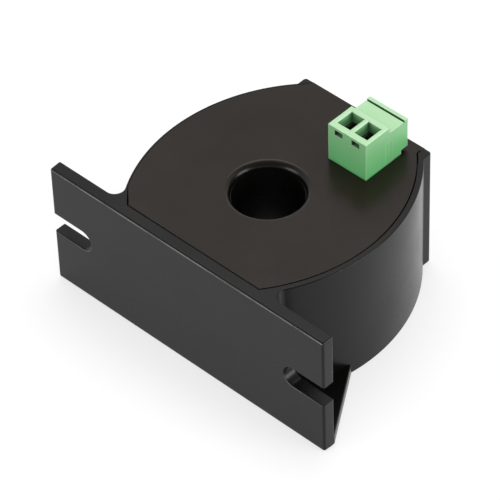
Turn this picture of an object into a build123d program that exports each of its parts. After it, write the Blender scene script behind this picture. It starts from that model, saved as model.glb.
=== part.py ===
from build123d import *
import os

# Current sensing switch: a moulded housing with a through bore for one conductor, a slotted panel flange,
# an inset lid and a two-pole clamp terminal. Inside are a ring core with its winding and a small board.
# Frame: the bore runs along Z, the flange faces -Y, and the origin is on the bore's axis at the bottom face.

# Housing outline, seen along the bore
FLANGE_WIDTH = 84.0
FLANGE_THICK = 3.3
FLANGE_EDGE_R = 0.9
BODY_HEIGHT = 34.3
FACE_TO_BORE = 27.8
BORE_TO_BACK = 33.8
BARREL_HALF_WIDTH = 30.8
BARREL_SIDE_R = 44.0
BARREL_CENTRE_Y = 1.6
FLANGE_ROOT_R = 2.4
BACK_EDGE_STEP = 0.24
BACK_THICK = 2.5
BACK_CORNER_R = 0.8
OUTER_EDGE_R = 0.4

# Panel slots, open at the flange's ends
SLOT_WIDTH = 5.6
SLOT_DEPTH = 12.0
SLOT_MIDDLE = 17.45

# Webs between the flange and the barrel, along the bottom
WEB_THICK = 3.0
WEB_END_Y = -5.1
WEB_END_SETBACK = 0.5

# Walls
FLOOR = 2.0
WALL = 2.4
RIM = 1.6
BORE_R = 8.5
BORE_TUBE_WALL = 1.6

# Lid
LID_THICK = 2.0
LID_GAP = 0.3
LID_TAB_SETBACK = 2.2
LID_EDGE_R = 0.2
LIP_R = 1.25
LID_BORE_STEP = 0.1
TERMINAL_HOLE_GAP = 0.15
TERMINAL_HOLE_BACK_GAP = 0.7

# Board and the staked posts that hold it under the lid
BOARD_THICK = 1.6
BOARD_DROP = 0.5
BOARD_FRONT_Y = 11.8
BOARD_WALL_GAP = 0.8
POST_R = 0.9
POST_HOLE_GAP = 0.1
POST_SHOULDER_R = 2.0
STAKE_HEAD_R = 1.6
STAKE_HEAD_HEIGHT = 0.8
# Each post is given by its side, its distance from the wall's inner face, and y
POSTS = [(-1, 4.0, 14.5), (-1, 5.85, 27.5), (1, 4.07, 13.8)]

# Coil: ring core, its insulation, the winding and the outer tape, nested with no play
COIL_BORE_GAP = 0.9
PAD_THICK = 1.0
CORE_RADIAL = 7.5
CORE_HEIGHT = 11.0
INSULATION = 0.5
WINDING_INNER = 1.3
WINDING_OUTER = 1.1
WINDING_END = 1.3
TAPE = 0.3
COIL_CORNER_R = 0.8
WINDING_TURNS = 36
TURN_GROOVE = 0.25
LEAD_R = 0.6
LEAD_START_R = 17.5
LEAD_ANGLES = [75.0, 105.0]
LEAD_STEP = 3.0
LEAD_STRAIGHT_SHARE = 0.33
LEAD_BEND_R = 1.5

# Terminal block
POLE_PITCH = 5.08
POLES = 2
TERMINAL_X = 8.84
TERMINAL_FRONT_Y = 16.85
TERMINAL_WIDTH = 11.4
TERMINAL_DEPTH = 14.15
TERMINAL_HEIGHT = 10.6
TERMINAL_EDGE = 0.25
ENTRY_WIDTH = 3.85
ENTRY_DEPTH = 4.85
ENTRY_FRONT_WALL = 1.8
ENTRY_CHAMFER = 0.3
STEP_BEHIND_ENTRY = 1.3
STEP_DOWN = 1.6
RIDGE_DEPTH = 1.0
RIDGE_RISE = 0.35
RIDGE_GROOVE = 0.35
OVERHANG = 2.2
OVERHANG_RISE = 1.1
WINDOW_WIDTH = 2.4
WINDOW_HEIGHT = 1.5
WINDOW_BELOW_TOP = 0.8
SIDE_GROOVE_WIDTH = 2.2
SIDE_GROOVE_DEPTH = 0.35
SIDE_GROOVE_HEIGHT = 6.6

# Rising cage clamp of one pole
CHAMBER_HALF_WIDTH = 2.05
CHAMBER_FRONT_WALL = 0.75
CHAMBER_BACK_WALL = 1.8
CHAMBER_FLOOR = 1.4
CHAMBER_HEIGHT = 6.0
SLIDE_GAP = 0.1
CAGE_SIDE_WALL = 0.6
CAGE_FRONT_WALL = 0.9
CAGE_NUT_WALL = 1.5
SCREW_R = 1.25
SCREW_PITCH = 0.45
SCREW_TURNS = 5
SCREW_HEAD_R = 1.95
SCREW_HEAD_HEIGHT = 1.0
SCREW_SLOT_WIDTH = 0.7
SCREW_SLOT_DEPTH = 0.5
SCREW_LIP_R = 1.7
SCREW_LIP_THICK = 0.65
THREAD_GAP = 0.05
TIP_GAP = 0.05
CONTACT_THICK = 0.8
CONTACT_TO_NUT = 0.3
CONTACT_SIDE_GAP = 0.15
PIN_WIDTH = 1.0
PIN_GAP = 0.1
PIN_BELOW_BOARD = 1.6

# Board parts. A place is the middle (x, y), a size is (width, depth, height below the board),
# and an axial part is (x, y, body radius, body length)
BRIDGE_PLACE = (-14.5, 22.0)
BRIDGE_SIZE = (6.4, 6.4, 3.3)
BRIDGE_CHAMFER = 0.4
SWITCH_Y = 19.0
SWITCH_WALL_GAP = 0.95
SWITCH_SIZE = (5.0, 4.0, 3.6)
SWITCH_CHAMFER = 0.45
SWITCH_TAB_LENGTH = 3.0
SWITCH_TAB_THICK = 1.2
SWITCH_TAB_HOLE_R = 0.9
CAPACITOR_PLACE = (-5.0, 26.5)
CAPACITOR_R = 3.2
CAPACITOR_HEIGHT = 7.5
CAPACITOR_END_R = 0.55
CAPACITOR_CRIMP_DROP = 1.2
CAPACITOR_CRIMP_R = 0.32
VARISTOR_PLACE = (12.0, 15.2)
VARISTOR_R = 3.5
VARISTOR_THICK = 3.0
VARISTOR_EDGE_R = 1.0
VARISTOR_FOOT = (3.5, 1.5)
LOAD_RESISTOR = (-11.0, 14.5, 1.2, 6.0)
GATE_RESISTOR = (1.0, 14.5, 0.9, 3.6)
ZENER_DIODE = (3.0, 20.5, 0.95, 3.8)
AXIAL_WAIST = 0.85
AXIAL_END_SHARE = 0.2
AXIAL_LEAD_R = 0.3
AXIAL_BEND_R = 0.6
AXIAL_LEAD_REACH = 1.2
AXIAL_STANDOFF = 0.2

# Heights and planes that follow from the sizes above
FLANGE_BACK_Y = -FACE_TO_BORE + FLANGE_THICK
BARREL_OFFSET = BARREL_SIDE_R - BARREL_HALF_WIDTH
LID_BOTTOM = BODY_HEIGHT - LID_THICK
BOARD_TOP = LID_BOTTOM - BOARD_DROP
BOARD_BOTTOM = BOARD_TOP - BOARD_THICK
BACK_WALL_Y = BORE_TO_BACK - BACK_THICK
BORE_TUBE_R = BORE_R + BORE_TUBE_WALL
TERMINAL_BACK_Y = TERMINAL_FRONT_Y + TERMINAL_DEPTH
TERMINAL_TOP = BODY_HEIGHT + TERMINAL_HEIGHT
ENTRY_FRONT_Y = TERMINAL_FRONT_Y + ENTRY_FRONT_WALL
CAGE_TRAVEL = SCREW_PITCH * SCREW_TURNS
CHAMBER_FRONT_Y = TERMINAL_FRONT_Y + CHAMBER_FRONT_WALL
CHAMBER_BACK_Y = TERMINAL_BACK_Y - CHAMBER_BACK_WALL
CHAMBER_BOTTOM = BODY_HEIGHT + CHAMBER_FLOOR
CHAMBER_TOP = CHAMBER_BOTTOM + CHAMBER_HEIGHT
SCREW_Z = CHAMBER_BOTTOM + CHAMBER_HEIGHT / 2
CAGE_FRONT_Y = CHAMBER_FRONT_Y + SLIDE_GAP
NUT_BACK_Y = CHAMBER_BACK_Y - SLIDE_GAP - CAGE_TRAVEL
NUT_FRONT_Y = NUT_BACK_Y - CAGE_NUT_WALL
CONTACT_BACK_Y = NUT_FRONT_Y - CONTACT_TO_NUT
CONTACT_FRONT_Y = CONTACT_BACK_Y - CONTACT_THICK
COIL_INNER_R = BORE_TUBE_R + COIL_BORE_GAP
CUT = 1.0
NEAR = 0.05


def block(x, y, z):
    """Box between the given low and high values along each axis."""
    size = [high - low for low, high in (x, y, z)]
    centre = [(low + high) / 2 for low, high in (x, y, z)]
    return Pos(*centre) * Box(*size)


def either_side(middle, half):
    """Low and high value this far from a middle."""
    return (middle - half, middle + half)


def rectangle(x, y):
    """Flat rectangle between the given low and high values."""
    return Pos((x[0] + x[1]) / 2, (y[0] + y[1]) / 2) * Rectangle(x[1] - x[0], y[1] - y[0])


def cylinder(radius, z, x=0.0, y=0.0):
    """Upright cylinder between two heights."""
    return Pos(x, y, (z[0] + z[1]) / 2) * Cylinder(radius, z[1] - z[0])


def rod(radius, y, x, z):
    """Cylinder along Y between two values of y."""
    return Pos(x, (y[0] + y[1]) / 2, z) * Rot(90, 0, 0) * Cylinder(radius, y[1] - y[0])


def raise_up(sketch, z):
    """Extrudes a flat sketch between two heights."""
    return extrude(Pos(0, 0, z[0]) * sketch, amount=z[1] - z[0], dir=(0, 0, 1))


def barrel(inset, y):
    """Outline of the barrel, set in from its outer face: two side arcs cut off in front and behind."""
    circle = Circle(BARREL_SIDE_R - inset)
    sides = Pos(-BARREL_OFFSET, BARREL_CENTRE_Y) * circle & Pos(BARREL_OFFSET, BARREL_CENTRE_Y) * circle
    return sides & rectangle((-FLANGE_WIDTH / 2, FLANGE_WIDTH / 2), y)


def barrel_x(y, inset=0.0):
    """Half width of the barrel at one value of y."""
    radius = BARREL_SIDE_R - inset
    return (radius ** 2 - (y - BARREL_CENTRE_Y) ** 2) ** 0.5 - BARREL_OFFSET


def upright_edges(solid, x, y):
    """Vertical edges of a solid that stand at (x, y) or (-x, y)."""
    return [e for e in solid.edges().filter_by(Axis.Z)
            if abs(abs(e.center().X) - x) < NEAR and abs(e.center().Y - y) < NEAR]


def back_half():
    """Half width of the back plate, which stands a small step proud of the barrel."""
    return barrel_x(BACK_WALL_Y) + BACK_EDGE_STEP


def lid_outline():
    """The lid: the barrel inside its rim, with a tab that closes the top of the back wall."""
    front = barrel(RIM + LID_GAP, (FLANGE_BACK_Y, BACK_WALL_Y))
    tab = back_half() - LID_TAB_SETBACK - LID_GAP
    return front + rectangle((-tab, tab), (BACK_WALL_Y - BACK_THICK, BORE_TO_BACK))


def make_flange():
    """Panel flange with a rounded front border and a slot open at each end."""
    half = FLANGE_WIDTH / 2
    plate = block((-half, half), (-FACE_TO_BORE, FLANGE_BACK_Y), (0, BODY_HEIGHT))
    plate = fillet(plate.edges().group_by(Axis.Y)[0], FLANGE_EDGE_R)
    slot_r = SLOT_WIDTH / 2
    for side in (-1, 1):
        inner = side * (half - SLOT_DEPTH + slot_r)
        outer = side * (half + CUT)
        y = (-FACE_TO_BORE - CUT, FLANGE_BACK_Y + CUT)
        plate -= rod(slot_r, y, inner, SLOT_MIDDLE)
        plate -= block(sorted((inner, outer)), y, either_side(SLOT_MIDDLE, slot_r))
    return plate


def make_webs():
    """Triangular webs that brace the flange's ends to the barrel along the bottom."""
    foot = barrel_x(WEB_END_Y) - WEB_END_SETBACK
    root = barrel_x(FLANGE_BACK_Y) - WALL
    edge = FLANGE_WIDTH / 2
    front = FLANGE_BACK_Y - FLANGE_THICK / 2
    outer = [(edge, front), (edge, FLANGE_BACK_Y), (foot, WEB_END_Y)]
    inner = [(foot - WALL, WEB_END_Y), (root, front)]
    web = raise_up(Polygon(*outer, *inner, align=None), (0, WEB_THICK))
    return web + web.mirror(Plane.YZ)


def outer_rims(solid):
    """Edges round the solid's top and bottom faces, behind the flange's own rounded border."""
    levels = solid.edges().group_by(Axis.Z)
    front = FLANGE_EDGE_R - FACE_TO_BORE
    return [e for e in levels[0] + levels[-1] if e.center().Y > front + NEAR]


def make_housing():
    """One moulding: flange, barrel, back plate, webs, bore tube and the ledge under the lid."""
    half = back_half()
    body = raise_up(barrel(0, (FLANGE_BACK_Y, BORE_TO_BACK)), (0, BODY_HEIGHT))
    body += block((-half, half), (BACK_WALL_Y - BACK_THICK, BORE_TO_BACK), (0, BODY_HEIGHT))
    body = fillet(upright_edges(body, half, BORE_TO_BACK), BACK_CORNER_R)
    body += make_flange()
    body = fillet(upright_edges(body, barrel_x(FLANGE_BACK_Y), FLANGE_BACK_Y), FLANGE_ROOT_R)
    body = fillet(outer_rims(body), OUTER_EDGE_R)
    body += make_webs()
    body -= raise_up(barrel(WALL, (FLANGE_BACK_Y, BACK_WALL_Y)), (FLOOR, BODY_HEIGHT))
    body += cylinder(BORE_TUBE_R, (0, LID_BOTTOM))
    pocket = offset(lid_outline(), LID_GAP, kind=Kind.INTERSECTION)
    body -= raise_up(pocket, (LID_BOTTOM, BODY_HEIGHT + CUT))
    return body - cylinder(BORE_R, (-CUT, BODY_HEIGHT + CUT))


def terminal_base(gap=0.0, back_gap=0.0):
    """Footprint of the terminal where it passes through the lid."""
    half = TERMINAL_WIDTH / 2 + gap
    y = (TERMINAL_FRONT_Y - gap, TERMINAL_BACK_Y - OVERHANG + back_gap)
    return rectangle((TERMINAL_X - half, TERMINAL_X + half), y)


def post_places():
    """Middle (x, y) of each post."""
    return [(side * (barrel_x(y, WALL) - from_wall), y) for side, from_wall, y in POSTS]


def make_lid():
    """Inset lid with a rolled bore lip, the terminal's opening and three posts staked over the board."""
    through = (LID_BOTTOM - CUT, BODY_HEIGHT + CUT)
    lid = raise_up(lid_outline(), (LID_BOTTOM, BODY_HEIGHT))
    lid = fillet(lid.edges().group_by(Axis.Z)[-1], LID_EDGE_R)
    lid -= cylinder(BORE_R + LID_BORE_STEP, through)
    circles = lid.edges().filter_by(GeomType.CIRCLE)
    rim = circles.filter_by(lambda e: abs(e.radius - BORE_R - LID_BORE_STEP) < NEAR)
    lid = fillet(rim.sort_by(Axis.Z)[-1], LIP_R)
    lid -= raise_up(terminal_base(TERMINAL_HOLE_GAP, TERMINAL_HOLE_BACK_GAP), through)
    for x, y in post_places():
        lid += cylinder(POST_SHOULDER_R, (BOARD_TOP, LID_BOTTOM), x, y)
        lid += cylinder(POST_R, (BOARD_BOTTOM, BOARD_TOP), x, y)
        lid += cylinder(STAKE_HEAD_R, (BOARD_BOTTOM - STAKE_HEAD_HEIGHT, BOARD_BOTTOM), x, y)
    return lid


def pole_xs():
    """Middle of each pole along X."""
    return [TERMINAL_X + (i - (POLES - 1) / 2) * POLE_PITCH for i in range(POLES)]


def contact_y(gap=0.0):
    """Low and high y of the contact bars and their pins, with a gap round them."""
    return (CONTACT_FRONT_Y - gap, CONTACT_BACK_Y + gap)


def pin_slot(x, z):
    """Space for one contact pin between two heights."""
    half = PIN_WIDTH / 2 + PIN_GAP
    return block((x - half, x + half), contact_y(PIN_GAP), z)


def make_board():
    """Board under the lid, shaped to the barrel, with holes for the posts and the terminal's pins."""
    sketch = barrel(WALL + BOARD_WALL_GAP, (BOARD_FRONT_Y, BACK_WALL_Y - BOARD_WALL_GAP))
    board = raise_up(sketch, (BOARD_BOTTOM, BOARD_TOP))
    through = (BOARD_BOTTOM - CUT, BOARD_TOP + CUT)
    for x, y in post_places():
        board -= cylinder(POST_R + POST_HOLE_GAP, through, x, y)
    for x in pole_xs():
        board -= pin_slot(x, through)
    return board


def make_terminal_body():
    """Green moulding with square wire entries, a stepped top, a back ridge and one clamp chamber per pole."""
    half = TERMINAL_WIDTH / 2
    x = (TERMINAL_X - half, TERMINAL_X + half)
    entry_back = ENTRY_FRONT_Y + ENTRY_DEPTH
    ridge_front = TERMINAL_BACK_Y - RIDGE_DEPTH
    low_top = TERMINAL_TOP - STEP_DOWN
    overhang_bottom = BODY_HEIGHT + OVERHANG_RISE
    body = block(x, (TERMINAL_FRONT_Y, entry_back + STEP_BEHIND_ENTRY), (BODY_HEIGHT, TERMINAL_TOP))
    body = fillet(body.edges().group_by(Axis.Z)[-1], TERMINAL_EDGE)
    body += block(x, (entry_back, TERMINAL_BACK_Y), (overhang_bottom, low_top))
    body += block(x, (ridge_front, TERMINAL_BACK_Y), (low_top - CUT, low_top + RIDGE_RISE))
    body += raise_up(terminal_base(), (BOARD_TOP, overhang_bottom))
    groove_y = (ridge_front - RIDGE_GROOVE, ridge_front)
    body -= block((x[0] - CUT, x[1] + CUT), groove_y, (low_top - RIDGE_GROOVE, low_top + CUT))
    side_y = (entry_back, entry_back + SIDE_GROOVE_WIDTH)
    side_z = (BODY_HEIGHT, BODY_HEIGHT + SIDE_GROOVE_HEIGHT)
    body -= block((x[1] - SIDE_GROOVE_DEPTH, x[1] + CUT), side_y, side_z)
    for pole in pole_xs():
        body -= pole_spaces(pole)
    return body


def pole_spaces(x):
    """Wire entry, front window, clamp chamber, screw pocket and pin slot of one pole."""
    entry_y = (ENTRY_FRONT_Y, ENTRY_FRONT_Y + ENTRY_DEPTH)
    entry = block(either_side(x, ENTRY_WIDTH / 2), entry_y, (CHAMBER_TOP - CUT, TERMINAL_TOP))
    mouth = Rectangle(ENTRY_WIDTH + 2 * ENTRY_CHAMFER, ENTRY_DEPTH + 2 * ENTRY_CHAMFER)
    mouth = Pos(x, ENTRY_FRONT_Y + ENTRY_DEPTH / 2, TERMINAL_TOP) * mouth
    funnel = extrude(mouth, amount=ENTRY_CHAMFER, taper=45, dir=(0, 0, -1))
    window_top = TERMINAL_TOP - WINDOW_BELOW_TOP
    window_y = (TERMINAL_FRONT_Y - CUT, ENTRY_FRONT_Y + ENTRY_CHAMFER)
    window = block(either_side(x, WINDOW_WIDTH / 2), window_y, (window_top - WINDOW_HEIGHT, window_top))
    chamber_y = (CHAMBER_FRONT_Y, CHAMBER_BACK_Y)
    chamber = block(either_side(x, CHAMBER_HALF_WIDTH), chamber_y, (CHAMBER_BOTTOM, CHAMBER_TOP))
    pocket_y = (CHAMBER_BACK_Y - CUT, TERMINAL_BACK_Y - SCREW_LIP_THICK)
    pocket = rod(SCREW_HEAD_R + SLIDE_GAP, pocket_y, x, SCREW_Z)
    screw_hole = rod(SCREW_LIP_R, (CHAMBER_BACK_Y, TERMINAL_BACK_Y + CUT), x, SCREW_Z)
    pin_space = pin_slot(x, (BOARD_TOP - CUT, CHAMBER_BOTTOM + CUT))
    return [entry, funnel, window, chamber, pocket, screw_hole, pin_space]


def make_cage(x):
    """Clamp cage: a square tube round the wire and the contact, with a thick threaded wall by the screw."""
    half = CHAMBER_HALF_WIDTH - SLIDE_GAP
    z = (CHAMBER_BOTTOM + SLIDE_GAP, CHAMBER_TOP - SLIDE_GAP)
    cage = block(either_side(x, half), (CAGE_FRONT_Y, NUT_BACK_Y), z)
    window_y = (CAGE_FRONT_Y + CAGE_FRONT_WALL, NUT_FRONT_Y)
    cage -= block(either_side(x, half - CAGE_SIDE_WALL), window_y, (z[0] - CUT, z[1] + CUT))
    return cage - rod(SCREW_R + THREAD_GAP, (NUT_FRONT_Y - CUT, NUT_BACK_Y + CUT), x, SCREW_Z)


def make_screw(x):
    """Slotted clamp screw that turns in place, held between the contact and the pocket's lip."""
    head_front = TERMINAL_BACK_Y - SCREW_LIP_THICK - TIP_GAP - SCREW_HEAD_HEIGHT
    head_back = head_front + SCREW_HEAD_HEIGHT
    screw = rod(SCREW_R, (CONTACT_BACK_Y + TIP_GAP, head_front), x, SCREW_Z)
    screw += rod(SCREW_HEAD_R, (head_front, head_back), x, SCREW_Z)
    slot_y = (head_back - SCREW_SLOT_DEPTH, head_back + CUT)
    return screw - block(either_side(x, SCREW_HEAD_R), slot_y, either_side(SCREW_Z, SCREW_SLOT_WIDTH / 2))


def make_contact(x):
    """Contact bar inside the cage, standing on the chamber floor, with its pin down through the board."""
    half = CHAMBER_HALF_WIDTH - SLIDE_GAP - CAGE_SIDE_WALL - CONTACT_SIDE_GAP
    bar = block(either_side(x, half), contact_y(), (CHAMBER_BOTTOM, CHAMBER_TOP - SLIDE_GAP))
    pin_z = (BOARD_BOTTOM - PIN_BELOW_BOARD, CHAMBER_BOTTOM)
    return bar + block(either_side(x, PIN_WIDTH / 2), contact_y(), pin_z)


def ring(inner, outer, z, corner_r=0.0):
    """Upright ring of rectangular section, with rounded corners where a radius is given."""
    section = rectangle((inner, outer), z)
    if corner_r:
        section = fillet(section.vertices(), corner_r)
    return revolve(Plane.XZ * section, Axis.Z)


def coil_layers():
    """Radii and heights of the coil's nested rings, from the outer tape in to the core."""
    inner = COIL_INNER_R
    core_inner = inner + TAPE + WINDING_INNER + INSULATION
    outer = core_inner + CORE_RADIAL + INSULATION + WINDING_OUTER + TAPE
    bottom = FLOOR + PAD_THICK
    top = bottom + CORE_HEIGHT + 2 * (INSULATION + WINDING_END + TAPE)
    layers = [(inner, outer, bottom, top)]
    for at_inner, at_outer, at_end in ((TAPE, TAPE, TAPE), (WINDING_INNER, WINDING_OUTER, WINDING_END),
                                       (INSULATION, INSULATION, INSULATION)):
        inner, outer, bottom, top = inner + at_inner, outer - at_outer, bottom + at_end, top - at_end
        layers.append((inner, outer, bottom, top))
    return layers


def make_coil():
    """Ring core inside its insulation, winding and outer tape. Each hollow layer fits the one inside it."""
    rounds = (COIL_CORNER_R + TAPE, COIL_CORNER_R, INSULATION, 0)
    solids = [ring(a, b, (low, high), r) for (a, b, low, high), r in zip(coil_layers(), rounds)]
    tape, winding, insulation, core = solids
    outer = coil_layers()[1][1]
    grooves = [Rot(0, 0, 360 * i / WINDING_TURNS) * cylinder(TURN_GROOVE, (FLOOR, BODY_HEIGHT), outer)
               for i in range(WINDING_TURNS)]
    return {"outer_tape": tape - winding, "winding": winding - insulation - grooves,
            "core_insulation": insulation - core, "ring_core": core}


def make_pad():
    """Foam pad between the housing floor and the coil."""
    tape_inner, tape_outer = coil_layers()[0][:2]
    return ring(tape_inner + COIL_CORNER_R, tape_outer - COIL_CORNER_R, (FLOOR, FLOOR + PAD_THICK))


def make_lead(angle):
    """Insulated lead from the coil's top face up to the board, with one sideways step."""
    coil_top = coil_layers()[0][3]
    start = Vector(LEAD_START_R, 0, 0).rotate(Axis.Z, angle)
    side = LEAD_STEP if start.X > 0 else -LEAD_STEP
    straight = (BOARD_BOTTOM - coil_top) * LEAD_STRAIGHT_SHARE
    low, high = coil_top + straight, BOARD_BOTTOM - straight
    points = [(start.X, start.Y, coil_top), (start.X, start.Y, low), (start.X + side, start.Y, high),
              (start.X + side, start.Y, BOARD_BOTTOM)]
    path = FilletPolyline(*points, radius=LEAD_BEND_R)
    return sweep(Plane(points[0], z_dir=(0, 0, 1)) * Circle(LEAD_R), path)


def under_board(x, y, width, depth, height):
    """Box that hangs from the board's underside, its middle at (x, y)."""
    return block(either_side(x, width / 2), either_side(y, depth / 2), (BOARD_BOTTOM - height, BOARD_BOTTOM))


def make_bridge_rectifier():
    """Flat bridge rectifier with chamfered long edges underneath."""
    body = under_board(*BRIDGE_PLACE, *BRIDGE_SIZE)
    return chamfer(body.edges().group_by(Axis.Z)[0].filter_by(Axis.Y), BRIDGE_CHAMFER)


def make_switching_device():
    """Power switching device: a moulded body on the end of its metal tab, lying flat against the board."""
    width, depth, height = SWITCH_SIZE
    body_back = SWITCH_Y + depth / 2
    x = barrel_x(body_back + SWITCH_TAB_LENGTH, WALL) - SWITCH_WALL_GAP - width / 2
    body = under_board(x, SWITCH_Y, width, depth, height)
    body = chamfer(body.edges().group_by(Axis.Z)[0], SWITCH_CHAMFER)
    tab_middle = body_back + SWITCH_TAB_LENGTH / 2
    tab = under_board(x, tab_middle, width, SWITCH_TAB_LENGTH, SWITCH_TAB_THICK)
    return body + tab - cylinder(SWITCH_TAB_HOLE_R, (BOARD_BOTTOM - height, BOARD_BOTTOM), x, tab_middle)


def make_capacitor():
    """Electrolytic capacitor standing on the board, with its crimp groove and rounded can end."""
    x, y = CAPACITOR_PLACE
    low = BOARD_BOTTOM - CAPACITOR_HEIGHT
    can = cylinder(CAPACITOR_R, (low, BOARD_BOTTOM), x, y)
    can = fillet(can.edges().group_by(Axis.Z)[0], CAPACITOR_END_R)
    crimp = Pos(x, y, BOARD_BOTTOM - CAPACITOR_CRIMP_DROP) * Torus(CAPACITOR_R, CAPACITOR_CRIMP_R)
    return can - crimp


def make_varistor():
    """Disc varistor on edge, seated on the board by its flat foot."""
    x, y = VARISTOR_PLACE
    disc = rod(VARISTOR_R, either_side(y, VARISTOR_THICK / 2), x, BOARD_BOTTOM - VARISTOR_R)
    disc = fillet(disc.edges().filter_by(GeomType.CIRCLE), VARISTOR_EDGE_R)
    return disc + under_board(x, y, *VARISTOR_FOOT, VARISTOR_R)


def make_axial_part(x, y, radius, length):
    """Axial part along the board: a body with fuller ends, and leads bent up into the board."""
    height = BOARD_BOTTOM - AXIAL_STANDOFF - radius
    half, waist, end = length / 2, radius * AXIAL_WAIST, length * AXIAL_END_SHARE
    left = [(-half, 0), (-half, radius), (end - half, radius), (end - half, waist)]
    right = [(-px, py) for px, py in reversed(left)]
    body = Pos(x, y, height) * revolve(Polygon(*left, *right, align=None), Axis.X)
    for side in (-1, 1):
        start = (x + side * (half - end), y, height)
        corner = (x + side * (half + AXIAL_LEAD_REACH), y, height)
        path = FilletPolyline(start, corner, (corner[0], y, BOARD_BOTTOM), radius=AXIAL_BEND_R)
        body += sweep(Plane(start, z_dir=(side, 0, 0)) * Circle(AXIAL_LEAD_R), path)
    return body


os.makedirs("parts", exist_ok=True)
nodes = {"housing": make_housing(), "lid": make_lid(), "circuit_board": make_board(),
         "terminal_body": make_terminal_body(), "coil_pad": make_pad(),
         "bridge_rectifier": make_bridge_rectifier(), "switching_device": make_switching_device(),
         "smoothing_capacitor": make_capacitor(), "surge_varistor": make_varistor(),
         "load_resistor": make_axial_part(*LOAD_RESISTOR), "gate_resistor": make_axial_part(*GATE_RESISTOR),
         "zener_diode": make_axial_part(*ZENER_DIODE)}
nodes.update(make_coil())
for number, pole in enumerate(pole_xs(), 1):
    nodes[f"wire_cage_{number}"] = make_cage(pole)
    nodes[f"clamp_screw_{number}"] = make_screw(pole)
    nodes[f"contact_{number}"] = make_contact(pole)
for number, angle in enumerate(LEAD_ANGLES, 1):
    nodes[f"coil_lead_{number}"] = make_lead(angle)
for name, solid in nodes.items():
    export_step(solid, f"parts/{name}.step")
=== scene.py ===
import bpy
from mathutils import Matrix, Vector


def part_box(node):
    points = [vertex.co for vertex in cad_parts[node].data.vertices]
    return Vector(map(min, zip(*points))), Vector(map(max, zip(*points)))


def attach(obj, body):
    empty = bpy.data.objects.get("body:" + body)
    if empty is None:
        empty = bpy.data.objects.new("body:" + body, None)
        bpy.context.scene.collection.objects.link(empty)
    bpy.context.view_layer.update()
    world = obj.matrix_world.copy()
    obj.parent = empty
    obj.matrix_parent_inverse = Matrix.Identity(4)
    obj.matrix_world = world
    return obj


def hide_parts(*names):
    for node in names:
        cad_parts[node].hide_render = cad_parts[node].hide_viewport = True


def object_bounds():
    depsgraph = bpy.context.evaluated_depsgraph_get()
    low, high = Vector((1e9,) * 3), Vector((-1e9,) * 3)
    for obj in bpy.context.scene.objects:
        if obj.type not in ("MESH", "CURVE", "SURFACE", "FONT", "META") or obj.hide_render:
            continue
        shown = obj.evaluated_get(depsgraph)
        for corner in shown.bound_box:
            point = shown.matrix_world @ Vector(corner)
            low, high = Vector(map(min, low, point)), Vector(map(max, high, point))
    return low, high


bl_info = {
    "name": "Current Sensing Switch",
    "version": (1, 0, 0),
    "blender": (4, 5, 0),
    "location": "View3D > Sidebar > Switch",
    "description": "Dresses the packed model of a current sensing switch and sets its stage",
    "category": "Add Mesh",
}

import math

import bpy
from bpy.props import FloatProperty, FloatVectorProperty, PointerProperty
from mathutils import Matrix, Vector

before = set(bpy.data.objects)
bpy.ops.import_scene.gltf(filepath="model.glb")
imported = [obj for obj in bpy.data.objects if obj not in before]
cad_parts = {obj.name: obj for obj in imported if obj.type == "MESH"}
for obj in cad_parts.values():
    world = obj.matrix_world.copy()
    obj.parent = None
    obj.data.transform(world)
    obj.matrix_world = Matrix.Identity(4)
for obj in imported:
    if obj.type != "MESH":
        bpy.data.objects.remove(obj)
CAD_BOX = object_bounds()
MM = 0.001

HOUSING_LOW, HOUSING_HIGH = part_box("housing")
FLANGE_THICK = 3.3 * MM
LID_THICK = 2.0 * MM
FLANGE_BACK_Y = HOUSING_LOW.y + FLANGE_THICK
LID_BOTTOM = HOUSING_HIGH.z - LID_THICK
# Side, distance from the wall's inner face, and y of each post under the lid
POSTS = ((-1, 4.0 * MM, 14.5 * MM), (-1, 5.85 * MM, 27.5 * MM), (1, 4.07 * MM, 13.8 * MM))

# How far a cutting shape reaches past what it cuts, and how far joined shapes run into each other
PAST = 1.0 * MM
OVERLAP = 0.5 * MM
# Degrees between the points of the barrel's two wide arcs
WIDE_ARC_STEP = 1.2
# Angle between faces over which they shade as an edge
SHADED_EDGE = math.radians(28)
# Angles between faces of a CAD node over which their edge is rounded, and under which they are one flat face
ROUNDED_EDGE = math.radians(40)
FLAT_FACE = math.radians(1)

WHITE = (1.0, 1.0, 1.0, 1.0)
# Each soft light's name, place and side in metres, the setting that holds its power, and whether it shows in
# reflections
LIGHTS = (
    ("top_light", (0.0, 0.1, 1.0), 0.8, "top_power", False),
    ("back_light", (-0.287, 0.29, 1.01), 0.6, "back_power", True),
    ("left_light", (-0.33, -0.844, 0.2), 0.5, "left_power", True),
    ("right_light", (0.848, 0.319, 0.2), 0.5, "right_power", True),
)
# The dim ceiling's middle lies this many times further up than out. The two cosines are those of the angles
# from its middle at which it starts and is at its dimmest.
CEILING_STEEPNESS = 2.1
CEILING_START = 0.5
CEILING_FULL = 0.8
PICTURE_WIDTH_MM = 36.0


def srgb(code):
    """Linear colour of an sRGB hex code such as 3c3a38."""
    values = [int(code[i:i + 2], 16) / 255 for i in (0, 2, 4)]
    return tuple(v / 12.92 if v <= 0.04045 else ((v + 0.055) / 1.055) ** 2.4 for v in values)


def length(name, description, default):
    """Length property in metres."""
    return FloatProperty(name=name, description=description, default=default, unit="LENGTH", precision=5)


def colour(name, description, code):
    """Colour property from a hex code."""
    return FloatVectorProperty(name=name, description=description, default=srgb(code), subtype="COLOR",
                               size=3, min=0.0, max=1.0)


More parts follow.
